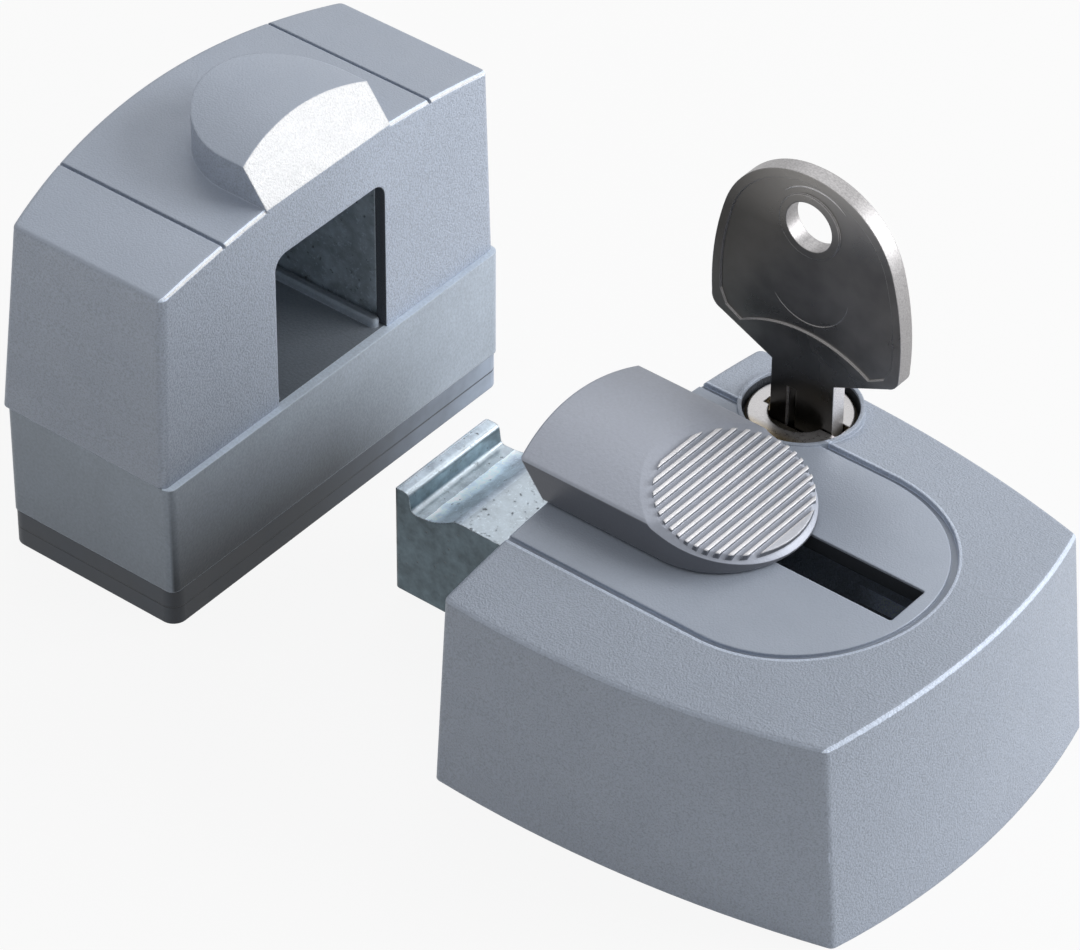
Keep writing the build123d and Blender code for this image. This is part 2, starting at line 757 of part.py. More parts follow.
# Key: domed bow with a hole, sunk stamped faces and a notched blade
half = key_width / 2
low = key_shoulder
with BuildPart() as key:
    with BuildSketch(lock_side(plug_y)):
        with BuildLine():
            Polyline(
                (key_x - half, low), (key_x - half, key_tip + 1.6), (key_x - half + 2.4, key_tip),
                (key_x + half - 2.4, key_tip), (key_x + half, key_tip + 1.6), (key_x + half, low),
            )
            for side in (-1, 1):
                corner = (key_x + side * (key_bow_half - 1.4), low + 3.45)
                cheek = (key_x + side * (key_bow_half - 0.05), low + 5.4)
                shoulder = (key_x + side * (key_bow_half - 1.6), low + key_cheek_high)
                Line((key_x + side * half, low), corner)
                ThreePointArc(corner, (key_x + side * (key_bow_half - 0.4), low + 4.15), cheek)
                ThreePointArc(cheek, (key_x + side * (key_bow_half - 0.25), low + 13), shoulder)
                dome = (key_x + side * (key_bow_half - key_dome_in), low + key_dome_high)
                ThreePointArc(shoulder, dome, (key_x, key_bow_top))
        make_face()
    extrude(amount=key_thick / 2, both=True)
    for level, cut in zip(wafer_levels, (0.9, 0.4, 1.1, 0.6, 0.3)):
        with BuildSketch(lock_side(plug_y)):
            for side in (-1, 1):
                with BuildLine():
                    edge = key_x + side * half
                    z = level + wafer_thick / 2
                    floor = edge - side * cut
                    cut_side = [(edge, z + 1.1), (floor, z + 0.45), (floor, z - 0.45), (edge, z - 1.1)]
                    Polyline((edge + side, z), *cut_side, close=True)
                make_face()
        extrude(amount=key_thick, both=True, mode=Mode.SUBTRACT)
    for face in (-1, 1):
        with BuildSketch(lock_side(plug_y + face * (key_thick / 2 - 0.25))):
            with BuildLine():
                reach = key_bow_half - key_border
                ThreePointArc((key_x - 9.1, low + 3.2), (key_x, low + 5.8), (key_x + 9.1, low + 3.2))
                for side in (-1, 1):
                    corner = (key_x + side * (reach - 0.9), low + 4.4)
                    cheek = (key_x + side * reach, low + 6.4)
                    shoulder = (key_x + side * (reach - 1.4), low + key_cheek_high - 0.5)
                    Polyline((key_x + side * 9.1, low + 3.2), corner, cheek)
                    ThreePointArc(cheek, (key_x + side * (reach - 0.15), low + 12.8), shoulder)
                    dome = (key_x + side * (reach - key_dome_in + 0.4), low + key_dome_high - 0.9)
                    ThreePointArc(shoulder, dome, (key_x, key_bow_top - key_border))
            make_face()
            with Locations((key_x, key_hole_z)):
                Circle(key_hole_radius + 1.0, mode=Mode.SUBTRACT)
        extrude(amount=-face * 2, mode=Mode.SUBTRACT)
    with BuildSketch(lock_side(plug_y - key_thick / 2)):
        with Locations((key_x - 1.5, (key_tip + low) / 2 - 1.5)):
            Rectangle(1.3, low - key_tip - 3)
    extrude(amount=-0.5, mode=Mode.SUBTRACT)
    with BuildSketch(lock_side(plug_y)):
        with Locations((key_x, key_hole_z)):
            Circle(key_hole_radius)
    extrude(amount=key_thick, both=True, mode=Mode.SUBTRACT)
key.part.label = "key"
export_step(key.part, "parts/key.step")

# Cam arm on the plug's square foot, with its washer and screw
washer_low = cam_low - cam_play - washer_thick
screw_foot = washer_low - cam_screw_head_high
with BuildPart() as cam:
    with BuildSketch(lock_level(cam_low)):
        with Locations((plug_x, plug_y)):
            Circle(cam_hub_radius)
        with Locations((plug_x + cam_reach / 2, plug_y)):
            Rectangle(cam_reach, cam_width)
        with Locations((plug_x, plug_y)):
            Rectangle(tail_square + 2 * plug_clear, tail_square + 2 * plug_clear, mode=Mode.SUBTRACT)
    extrude(amount=cam_high - cam_low)
    fillet(cam.edges().filter_by(Axis.Z).sort_by(Axis.X)[-2:], 0.8)
cam.part.label = "cam"
export_step(cam.part, "parts/cam.step")

with BuildPart() as cam_washer:
    with BuildSketch(lock_level(washer_low)):
        with Locations((plug_x, plug_y)):
            Circle(washer_radius)
            Circle(cam_screw_radius + 0.2, mode=Mode.SUBTRACT)
    extrude(amount=washer_thick)
cam_washer.part.label = "cam_washer"
export_step(cam_washer.part, "parts/cam_washer.step")

with BuildPart() as cam_screw:
    with BuildSketch(lock_level(screw_foot)):
        with Locations((plug_x, plug_y)):
            Circle(cam_screw_head)
    extrude(amount=cam_screw_head_high)
    with BuildSketch(lock_level(washer_low)):
        with Locations((plug_x, plug_y)):
            Circle(cam_screw_radius)
    extrude(amount=washer_thick + 4)
    with BuildSketch(lock_level(screw_foot)):
        with Locations((plug_x, plug_y)):
            cross(0.8, 1.2 * cam_screw_head)
    extrude(amount=0.9, mode=Mode.SUBTRACT)
cam_screw.part.label = "cam_screw"
export_step(cam_screw.part, "parts/cam_screw.step")

# Bump on the keep that meets the slide's undercut end
with BuildPart() as keep_bump:
    extrude(thumb_plan(keep_level(crown_height - 3), 0, -bump_straight, slide_half), amount=15)
    bump_apex = crown_height + slide_crown_height - panel_height + slide_lift
    crown = over_crown(keep_section(-beyond), bump_apex, slide_crown_radius, 1.4 * slide_half, 2 * beyond)
    extrude(crown, amount=2 * beyond, mode=Mode.SUBTRACT)
    with BuildSketch(keep_side(0)):
        with BuildLine():
            base = crown_height - crown_drop(crown_radius, slide_half)
            Polyline((0, base), (-undercut_rate * 10, base + 10), (5, base + 10), (5, base), close=True)
        make_face()
    extrude(amount=20, both=True, mode=Mode.SUBTRACT)

with BuildPart() as keep_hollow:
    hollow_foot = keep_plan(-1, keep_front_wall, keep_wall, case_corner)
    loft([hollow_foot, keep_plan(loft_top, keep_front_wall, keep_wall, case_corner)])
    roof = over_crown(keep_section(-2 * beyond), crown_height - case_roof, crown_radius, beyond, beyond)
    extrude(roof, amount=3 * beyond, mode=Mode.SUBTRACT)
    with BuildSketch(keep_section(bracket_back - bracket_skin - plate_clear)):
        with Locations((0, keep_screw_z)):
            Circle(keep_boss_radius)
    extrude(amount=-10, mode=Mode.SUBTRACT)

with BuildPart() as keep_case:
    loft([keep_plan(0, 0, 0, case_corner), keep_plan(loft_top, 0, 0, case_corner)])
    crown = over_crown(keep_section(-2 * beyond), crown_height, crown_radius, beyond, beyond)
    extrude(crown, amount=3 * beyond, mode=Mode.SUBTRACT)
    fillet(keep_case.faces().sort_by(Axis.Z)[-1].edges(), edge_round)
    groove_floor = crown_height - crown_drop(crown_radius, panel_half) - groove_depth
    with BuildSketch(keep_level(groove_floor)):
        with Locations((-20, -panel_half), (-20, panel_half)):
            Rectangle(2 * beyond, groove_width)
    extrude(amount=beyond, mode=Mode.SUBTRACT)
    add(keep_bump.part)
    add(keep_hollow.part, mode=Mode.SUBTRACT)
    with BuildSketch(keep_section(-keep_front_wall - 1)) as portal:
        with Locations((0, portal_height / 2 - 1)):
            Rectangle(2 * portal_half, portal_height + 2)
        fillet(portal.vertices().group_by(Axis.Z)[-1], portal_corner)
    extrude(amount=keep_front_wall + 2, mode=Mode.SUBTRACT)
    with BuildSketch(keep_section(bracket_back)):
        with Locations((0, keep_screw_z)):
            Circle(keep_screw_radius + screw_clear)
    extrude(amount=-keep_screw_length - 0.2, mode=Mode.SUBTRACT)
keep_case.part.label = "keep_case"
export_step(keep_case.part, "parts/keep_case.step")

# Bracket inside the keep: two cheeks, a bridge, a back and two drilled feet
with BuildPart() as keep_bracket:
    outer = cheek_inner + cheek_thick
    with BuildSketch(keep_level(0)):
        with Locations(((bracket_front + bracket_back - bracket_skin) / 2, 0)):
            Rectangle(bracket_front - bracket_back + bracket_skin, 2 * outer)
    extrude(amount=bracket_height + 1.8)
    with BuildSketch(keep_section(bracket_back)):
        with Locations((0, bracket_height / 2 - 0.5)):
            Rectangle(2 * cheek_inner, bracket_height + 1)
    extrude(amount=40, mode=Mode.SUBTRACT)
    with BuildSketch(keep_section(bracket_back)):
        with Locations((0, back_height + 10)):
            Rectangle(2 * outer + 2, 20)
    extrude(amount=-10, mode=Mode.SUBTRACT)
    with BuildSketch(keep_level(0)):
        with Locations((keep_fixing_x, 0)):
            Rectangle(foot_length, 2 * foot_reach)
        with Locations(((bracket_back + 2) / 2, 0)):
            Rectangle(-bracket_back + 4, 2 * cheek_inner + 0.2, mode=Mode.SUBTRACT)
        with Locations((keep_fixing_x, -keep_fixing_y / 2), (keep_fixing_x, keep_fixing_y / 2)):
            Circle(fixing_radius, mode=Mode.SUBTRACT)
    extrude(amount=foot_thick)
    with Locations(Plane((keep_x + bracket_back, keep_y, keep_rest + keep_screw_z), z_dir=(1, 0, 0))):
        CounterSinkHole(keep_screw_radius + 0.2, keep_screw_head + 0.1, depth=3)
keep_bracket.part.label = "keep_bracket"
export_step(keep_bracket.part, "parts/keep_bracket.step")

with BuildPart() as keep_screw:
    with BuildSketch(keep_side(0)):
        with BuildLine():
            shank_z = keep_screw_z + keep_screw_radius
            neck = bracket_back + keep_screw_radius - keep_screw_head
            tip = bracket_back - keep_screw_length
            head = [(bracket_back, keep_screw_z), (bracket_back, keep_screw_z + keep_screw_head)]
            Polyline(*head, (neck, shank_z), (tip, shank_z), (tip, keep_screw_z), close=True)
        make_face()
    revolve(axis=Axis((keep_x, keep_y, keep_rest + keep_screw_z), (1, 0, 0)))
    with BuildSketch(keep_section(bracket_back)):
        with Locations((0, keep_screw_z)):
            cross(0.6, 1.1 * keep_screw_head)
    extrude(amount=-0.7, mode=Mode.SUBTRACT)
keep_screw.part.label = "keep_screw"
export_step(keep_screw.part, "parts/keep_screw.step")

# Riser with two rounded locating ribs, and the two spacer plates
with BuildPart() as riser_block:
    extrude(spacer_plan(keep_level(-riser_height), riser_corner), amount=riser_height)
    with BuildSketch(keep_level(-1)):
        with Locations((rail_rib_x, -rail_rib_y), (rail_rib_x, rail_rib_y)):
            SlotOverall(rail_rib_length, rail_rib_width)
    extrude(amount=1 + rail_rib_height)
    fillet(riser_block.faces().sort_by(Axis.Z)[-2:].edges(), 0.5)
riser_block.part.label = "riser_block"
export_step(riser_block.part, "parts/riser_block.step")

with BuildPart() as spacer_upper:
    extrude(spacer_plan(Plane((keep_x, keep_y, spacer_thick)), spacer_corner), amount=spacer_thick)
spacer_upper.part.label = "spacer_upper"
export_step(spacer_upper.part, "parts/spacer_upper.step")

with BuildPart() as spacer_lower:
    extrude(spacer_plan(Plane((keep_x, keep_y, 0)), spacer_corner), amount=spacer_thick)
spacer_lower.part.label = "spacer_lower"
export_step(spacer_lower.part, "parts/spacer_lower.step")
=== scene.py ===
import math

import bmesh
import bpy
from bpy.props import FloatProperty, FloatVectorProperty, PointerProperty
from bpy.types import Operator, Panel, PropertyGroup
from mathutils import Matrix, Vector


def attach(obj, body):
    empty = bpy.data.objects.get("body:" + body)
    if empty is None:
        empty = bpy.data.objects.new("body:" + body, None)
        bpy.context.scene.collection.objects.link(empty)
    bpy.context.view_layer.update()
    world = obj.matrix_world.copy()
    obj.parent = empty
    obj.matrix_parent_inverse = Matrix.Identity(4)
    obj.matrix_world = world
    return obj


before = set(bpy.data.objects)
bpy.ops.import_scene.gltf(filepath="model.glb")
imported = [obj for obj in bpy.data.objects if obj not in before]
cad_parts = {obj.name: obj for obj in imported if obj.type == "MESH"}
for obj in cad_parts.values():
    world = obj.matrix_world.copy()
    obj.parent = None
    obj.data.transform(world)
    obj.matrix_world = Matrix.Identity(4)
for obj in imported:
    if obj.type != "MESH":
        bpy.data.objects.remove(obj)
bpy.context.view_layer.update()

bl_info = {
    "name": "Rim lock finishes",
    "version": (1, 0, 0),
    "blender": (4, 5, 0),
    "location": "3D View > Sidebar > Rim lock",
    "description": "Dresses a surface-mounted rim lock, its keep and its key",
    "category": "Object",
}

MM = 0.001

# Places in the shared frame: X along the bolt, the keep at -X, Y sideways, Z up from the mounting surface.
PANEL_END_X = 0.9 * MM  # centre of the round end of the lock's sunk panel
PANEL_HALF = 18.3 * MM  # half the panel's width
ROOF_LOW = 24 * MM  # the lock's roof lies above this
EDGE_LOW = 20 * MM  # the upper edges of both cases lie above this
PLUG_X, PLUG_Y = -14.5 * MM, 21.7 * MM  # the cylinder's axis
KEEP_FRONT_X = -68.4 * MM  # the keep's front: the riser's ledge lies before it, the portal's floor behind
BOLT_TOP = 16.55 * MM  # between the bolt's flat top and its higher lip
KEY_FACE_Y = 20.85 * MM  # sunk near face of the key's bow


class CastSettings(PropertyGroup):
    """Painted castings: both cases, the thumb slide and the riser."""

    paint: FloatVectorProperty(
        name="Paint",
        description="Silver-grey of the cast cases",
        subtype="COLOR",
        size=3,
        default=(0.36, 0.405, 0.485),
    )
    satin: FloatVectorProperty(
        name="Satin",
        description="Smoother paint of the slide",
        subtype="COLOR",
        size=3,
        default=(0.43, 0.462, 0.54),
    )
    riser: FloatVectorProperty(
        name="Riser",
        description="Paint of the block under the keep",
        subtype="COLOR",
        size=3,
        default=(0.375, 0.425, 0.49),
    )
    slate: FloatVectorProperty(
        name="Slate",
        description="Dark moulding of the spacer plates",
        subtype="COLOR",
        size=3,
        default=(0.06, 0.07, 0.086),
    )
    pebble_size: FloatProperty(
        name="Pebble size",
        description="Spacing of the paint's pebbles",
        unit="LENGTH",
        default=0.23 * MM,
        min=0.05 * MM,
    )
    pebble_depth: FloatProperty(
        name="Pebble depth",
        description="Height of the paint's pebbles",
        unit="LENGTH",
        default=0.13 * MM,
        min=0,
    )


class MetalSettings(PropertyGroup):
    """Bare and plated metals of the bolt, cylinder, key and inner pieces."""

    zinc: FloatVectorProperty(
        name="Zinc",
        description="Plating of the bolt and pressed pieces",
        subtype="COLOR",
        size=3,
        default=(0.5, 0.57, 0.63),
    )
    nickel: FloatVectorProperty(
        name="Nickel",
        description="Plating of plug and key",
        subtype="COLOR",
        size=3,
        default=(0.46, 0.45, 0.455),
    )
    tarnish: FloatVectorProperty(
        name="Tarnish",
        description="Darker bloom on the key's faces",
        subtype="COLOR",
        size=3,
        default=(0.135, 0.13, 0.125),
    )
    brass: FloatVectorProperty(
        name="Brass",
        description="Brass under the nickel and in the wafers",
        subtype="COLOR",
        size=3,
        default=(0.62, 0.46, 0.2),
    )
    steel: FloatVectorProperty(
        name="Spring steel",
        description="Leaf and coil springs",
        subtype="COLOR",
        size=3,
        default=(0.36, 0.36, 0.37),
    )
    stamp_radius: FloatProperty(
        name="Stamp radius",
        description="Arc stamped on the key's bow",
        unit="LENGTH",
        default=5.7 * MM,
        min=MM,
    )
    stamp_height: FloatProperty(
        name="Stamp height",
        description="Height of the stamped arc, foot included",
        unit="LENGTH",
        default=0.055 * MM,
        min=0.02 * MM,
    )
    crest_radius: FloatProperty(
        name="Crest radius",
        description="Ridge above the key's hole",
        unit="LENGTH",
        default=5.86 * MM,
        min=4 * MM,
    )
    crest_height: FloatProperty(
        name="Crest height",
        description="Height of the ridge above the key's hole, foot included",
        unit="LENGTH",
        default=0.12 * MM,
        min=0.02 * MM,
    )
    ridge_width: FloatProperty(
        name="Ridge width",
        description="Width of the key's stamped ridges",
        unit="LENGTH",
        default=0.28 * MM,
        min=0.1 * MM,
    )
    pit_size: FloatProperty(
        name="Pit size",
        description="Spacing of pits in the bolt's zinc",
        unit="LENGTH",
        default=0.7 * MM,
        min=0.05 * MM,
    )


class StageSettings(PropertyGroup):
    """Studio floor, lamps and camera."""

    floor: FloatVectorProperty(
        name="Floor",
        description="Colour of the floor",
        subtype="COLOR",
        size=3,
        default=(0.75, 0.75, 0.75),
    )
    key_power: FloatProperty(
        name="Key lamp",
        description="Large low lamp beyond the lock's end",
        unit="POWER",
        default=4.2,
    )
    back_power: FloatProperty(
        name="Back lamp",
        description="Soft lamp high behind the set",
        unit="POWER",
        default=0.6,
    )
    room: FloatProperty(
        name="Room light",
        description="Strength of the even room light",
        default=0.34,
    )
    lens: FloatProperty(
        name="Lens",
        description="Focal length in millimetres",
        default=195.4,
    )
    azimuth: FloatProperty(
        name="Azimuth",
        description="Camera's turn about Z",
        subtype="ANGLE",
        default=math.radians(38.535),
    )
    elevation: FloatProperty(
        name="Elevation",
        description="Camera's height above the horizon",
        subtype="ANGLE",
        default=math.radians(39.207),
    )
    roll: FloatProperty(
        name="Roll",
        description="Camera's tilt",
        subtype="ANGLE",
        default=math.radians(-0.407),
    )
    eye: FloatVectorProperty(
        name="Eye",
        description="Camera's place",
        subtype="TRANSLATION",
        unit="LENGTH",
        size=3,
        default=(0.29143, -0.41065, 0.44933),
    )


class Finish:
    """A procedural finish, wired node by node in the object's own coordinates.

    x, y and z are a point's place, and lean_x, lean_y and lean_z the parts of the surface's normal there.
    A mask is a value that is 1 in one part of the surface and 0 elsewhere.
    """

    def __init__(self, name):
        self.material = bpy.data.materials.new(name)
        self.material.use_nodes = True
        self.tree = self.material.node_tree
        self.shader = self.tree.nodes["Principled BSDF"]
        self.place = self.node("ShaderNodeTexCoord").outputs["Object"]
        self.facing = self.node("ShaderNodeNewGeometry").outputs["Normal"]
        self.x, self.y, self.z = self.parts(self.place)
        self.lean_x, self.lean_y, self.lean_z = self.parts(self.facing)

    def node(self, kind, settings=None, **inputs):
        made = self.tree.nodes.new(kind)
        for key, value in (settings or {}).items():
            setattr(made, key, value)
        for key, value in inputs.items():
            self.feed(made.inputs[key.replace("_", " ")], value)
        return made

    def feed(self, socket, value):
        """Link a socket to a node's output, or set it to a constant."""
        if isinstance(value, bpy.types.NodeSocket):
            self.tree.links.new(value, socket)
        else:
            socket.default_value = value

    def parts(self, vector):
        """X, Y and Z of a vector."""
        return self.node("ShaderNodeSeparateXYZ", Vector=vector).outputs

    def math(self, operation, first, second=0.0, clamp=False):
        made = self.node("ShaderNodeMath", {"operation": operation, "use_clamp": clamp})
        self.feed(made.inputs[0], first)
        self.feed(made.inputs[1], second)
        return made.outputs[0]

    def times(self, first, *others):
        """Product of all the values: of masks, the part that they share."""
        for other in others:
            first = self.math("MULTIPLY", first, other)
        return first

    def radius(self, along, across):
        """Length of the line with these two parts."""
        squares = self.math("ADD", self.times(along, along), self.times(across, across))
        return self.math("SQRT", squares)

    def over(self, value, low):
        """Mask of the values above low."""
        return self.math("GREATER_THAN", value, low)

    def under(self, value, high):
        """Mask of the values below high."""
        return self.math("LESS_THAN", value, high)

    def inside(self, value, low, high):
        """Mask of the values between low and high."""
        return self.times(self.over(value, low), self.under(value, high))

    def where(self, mask, factor):
        """Factor where the mask is 1, and 1 where it is 0."""
        change = self.times(mask, self.math("SUBTRACT", factor, 1.0))
        return self.math("ADD", change, 1.0)

    def span(self, value, low, high, to_low=0.0, to_high=1.0):
        """Value stretched from low..high to to_low..to_high, held at the ends."""
        made = self.node("ShaderNodeMapRange", {"clamp": True}, Value=value)
        for key, number in (("From Min", low), ("From Max", high), ("To Min", to_low), ("To Max", to_high)):
            self.feed(made.inputs[key], number)
        return made.outputs[0]

    def grain(self, spacing, detail=2.0, rough=0.5, stretch=(1, 1, 1)):
        """Noise whose blotches lie about the given spacing apart, in metres."""
        scaled = self.node("ShaderNodeMapping", Vector=self.place, Scale=[s / spacing for s in stretch])
        made = self.node(
            "ShaderNodeTexNoise", Vector=scaled.outputs[0], Scale=1.0, Detail=detail, Roughness=rough
        )
        return made.outputs["Fac"]

    def swing(self, noise, to_low=0.0, to_high=1.0):
        """Noise stretched from its usual swing to to_low..to_high."""
        return self.span(noise, 0.3, 0.7, to_low, to_high)

    def tint(self, factor, first, second):
        """Colour that goes from first to second with the factor."""
        made = self.node("ShaderNodeMix", {"data_type": "RGBA"})
        self.feed(made.inputs[0], factor)
        for socket, colour in ((made.inputs[6], first), (made.inputs[7], second)):
            self.feed(socket, colour if isinstance(colour, bpy.types.NodeSocket) else (*colour, 1.0))
        return made.outputs[2]

    def scale(self, colour, factor):
        """Colour made lighter or darker by a factor."""
        made = self.node("ShaderNodeVectorMath", {"operation": "SCALE"}, Scale=factor)
        self.feed(made.inputs[0], colour)
        return made.outputs[0]

    def soft_edges(self, radius):
        """Normal rounded over the edges, and a mask of the strips along them."""
        strip_start, strip_full = 0.985, 0.86  # cosines of the turn from the face's own normal
        rounded = self.node("ShaderNodeBevel", {"samples": 4}, Radius=radius).outputs[0]
        turned = self.node("ShaderNodeVectorMath", {"operation": "DOT_PRODUCT"})
        self.feed(turned.inputs[0], rounded)
        self.feed(turned.inputs[1], self.facing)
        return rounded, self.span(turned.outputs["Value"], strip_start, strip_full)

    def bump(self, height, depth, normal, strength=1.0):
        made = self.node("ShaderNodeBump", Height=height, Distance=depth, Strength=strength)
        self.feed(made.inputs["Normal"], normal)
        return made.outputs[0]

    def set(self, **inputs):
        """Feed the shader."""
        for key, value in inputs.items():
            self.feed(self.shader.inputs[key.replace("_", " ")], value)
        return self

    def onto(self, *names):
        """Give the finish to CAD nodes."""
        for name in names:
            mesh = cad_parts[name].data
            mesh.materials.clear()
            mesh.materials.append(self.material)


def shade(colour, amount):
    """A colour made lighter or darker."""
    return tuple(min(1.0, c * amount) for c in colour)


def cast_paint(name, paint, settings, calm, dark, tone, painted_highlight=None):
    """Silver paint with fine pebbles, painted highlights along the edges, and painted light and shade.

    calm, dark and tone are functions of the finish, and so is the optional last argument. They give where
    the pebbles lie low, where shade is painted in, the painted light and shade of each place, and where a
    pale painted highlight goes.
    """
    look = Finish(name)
    cloud = look.grain(14 * MM)
    pebble = look.grain(settings.pebble_size, rough=0.55)
    rounded, edge_strips = look.soft_edges(0.3 * MM)
    rise = look.math("SUBTRACT", 1.0, look.times(calm(look), 0.7))
    colour = look.tint(look.swing(cloud), shade(paint, 0.97), shade(paint, 1.03))
    dimples = look.times(look.span(pebble, 0.5, 0.25, 0.0, 0.8), rise)
    colour = look.tint(dimples, colour, shade(paint, 0.86))
    specks = look.times(look.span(pebble, 0.45, 0.75), rise, 0.7)
    colour = look.tint(specks, colour, shade(paint, 1.2))
    # Painted shade: the pebbles' hollows are darker on upright faces.
    upright = look.span(look.math("ABSOLUTE", look.lean_z), 0.5, 0.2)
    hollow_shade = look.times(upright, look.span(pebble, 0.5, 0.3, 0.0, 0.7))
    colour = look.tint(hollow_shade, colour, shade(paint, 0.78))
    # Painted highlight along the edges.
    colour = look.tint(look.times(edge_strips, 0.5), colour, shade(paint, 1.7))
    # Painted light and shade from tone, then painted shade where dark is 1.
    colour = look.scale(colour, tone(look))
    colour = look.tint(dark(look), colour, shade(paint, 0.12))
    normal = look.bump(pebble, settings.pebble_depth, rounded, rise)
    rough = look.swing(look.grain(3 * MM), 0.38, 0.46)
    # Pale painted highlight, a little less rough, on the mask given as the last argument.
    if painted_highlight:
        patch = painted_highlight(look)
        metal = look.tint(look.span(pebble, 0.35, 0.6), (0.66, 0.67, 0.69), (0.75, 0.76, 0.78))
        colour = look.tint(patch, colour, metal)
        rough = look.math("SUBTRACT", rough, look.times(patch, 0.06))
    return look.set(Base_Color=colour, Roughness=rough, Metallic=0.1, Normal=normal)


def round_edges(look):
    """Mask of the rounded edges between a front and a roof."""
    edge = look.times(look.inside(look.lean_x, 0.3, 0.95), look.inside(look.lean_z, 0.3, 0.95))
    return look.times(edge, look.over(look.z, EDGE_LOW))


def near_edges(look):
    """Mask of the rounded edges between a near side and a top."""
    return look.times(look.inside(look.lean_y, -0.95, -0.4), look.inside(look.lean_z, 0.3, 0.9))


def panel_distance(look):
    """Distance from the panel's middle line or, past the line's end, from that end."""
    past_end = look.math("MAXIMUM", look.math("SUBTRACT", look.x, PANEL_END_X), 0.0)
    return look.radius(past_end, look.y)


def lock_calm(look):
    """Mask of the lock's smooth sunk panel."""
    return look.times(look.under(panel_distance(look), PANEL_HALF), look.over(look.z, ROOF_LOW))


def lock_painted_shade(look):
    """Painted shade: 1 on the slot's walls below the roof, and close to 1 in the ring around the plug."""
    slot_from, slot_to, slot_half, slot_top = -14 * MM, 17 * MM, 3.4 * MM, 28.9 * MM
    ring_radius, ring_top = 7 * MM, 28.2 * MM
    slot = look.times(
        look.under(look.math("ABSOLUTE", look.lean_z), 0.5),
        look.under(look.z, slot_top),
        look.inside(look.x, slot_from, slot_to),
        look.inside(look.y, -slot_half, slot_half),
    )
    out = look.radius(look.math("SUBTRACT", look.x, PLUG_X), look.math("SUBTRACT", look.y, PLUG_Y))
    ring = look.times(look.under(out, ring_radius), look.under(look.z, ring_top), 0.95)
    return look.math("MAXIMUM", slot, ring)


def lock_painted_light(look):
    """Painted light and shade: highlights on the edges, a shaded groove and a highlighted lip round the sunk
    panel, a far roof a little lighter, and a painted reflection on the bolt's rail in the slot.
    """
    roof = look.over(look.z, ROOF_LOW)
    distance = panel_distance(look)
    lip_inner, lip_outer = PANEL_HALF - 0.1 * MM, PANEL_HALF + 0.35 * MM
    groove = look.times(roof, look.inside(distance, PANEL_HALF - 0.9 * MM, lip_inner))
    lip = look.times(roof, look.inside(distance, lip_inner, lip_outer))
    upward = look.span(look.lean_z, 0.9, 0.97)
    rail_y, rail_half, rail_low, rail_high = 8.45 * MM, 0.25 * MM, 17.6 * MM, 20.2 * MM
    rail = look.times(
        look.inside(look.y, rail_y - rail_half, rail_y + rail_half),
        look.inside(look.z, rail_low, rail_high),
        look.under(look.lean_y, -0.5),
    )
    return look.times(
        look.where(round_edges(look), 1.75),
        look.where(near_edges(look), 1.3),
        look.where(upward, look.span(look.x, -20 * MM, 20 * MM, 1.03, 1.08)),
        look.where(groove, 0.86),
        look.where(lip, 1.5),
        look.where(rail, look.span(look.x, 3.5 * MM, 7.5 * MM, 1.0, 2.3)),
    )


def keep_calm(look):
    """Close to 1 on the keep's smoother roof and bump, 0 on its pebbled sides."""
    return look.span(look.lean_z, 0.5, 0.8, 0.0, 0.85)


def keep_painted_shade(look):
    """Painted shade: close to 1 on the jambs and the lintel of the keep's portal."""
    return look.times(
        look.under(look.math("ABSOLUTE", look.lean_x), 0.5),
        look.inside(look.y, -8.9 * MM, 11.3 * MM),
        look.inside(look.z, 20 * MM, 42.2 * MM),
        0.9,
    )


def keep_painted_light(look):
    """Painted light and shade: the front shaded at its near end and lit at its far end, a lighter roof and
    near side, and painted highlights on the edges.
    """
    near = look.span(look.z, 46 * MM, 22 * MM, 0.9, 0.74)
    gain = look.times(look.span(look.y, -26 * MM, 10 * MM), look.math("SUBTRACT", 1.25, near))
    front = look.span(look.lean_x, 0.8, 0.95)
    roof = look.span(look.lean_z, 0.5, 0.8)
    side = look.span(look.lean_y, -0.6, -0.8)
    return look.times(
        look.where(front, look.math("ADD", near, gain)),
        look.where(roof, look.span(look.y, -20 * MM, 20 * MM, 1.26, 1.04)),
        look.where(side, look.span(look.z, 25 * MM, 46 * MM, 1.0, 1.18)),
        look.where(round_edges(look), 2.1),
    )


def keep_highlight(look):
    """Mask of the sloping front of the keep's bump, where a pale painted highlight goes."""
    sloping = look.times(look.inside(look.lean_x, 0.6, 0.95), look.inside(look.lean_z, 0.35, 0.8))
    return look.times(sloping, look.over(look.z, 47 * MM))


def bolt_painted_light(look):
    """Painted light and shade: lighter on the bolt's lip and at the foot of its ramp, a little darker on its
    flat top.
    """
    ramp = look.times(look.inside(look.lean_x, -0.95, -0.08), look.over(look.lean_z, 0.3))
    flat = look.times(look.inside(look.z, 15.9 * MM, BOLT_TOP), look.over(look.lean_z, 0.9))
    return look.times(
        look.where(look.over(look.z, BOLT_TOP), 1.18),
        look.where(flat, 0.86),
        look.where(ramp, look.span(look.x, -44.8 * MM, -43.8 * MM, 1.85, 1.2)),
    )


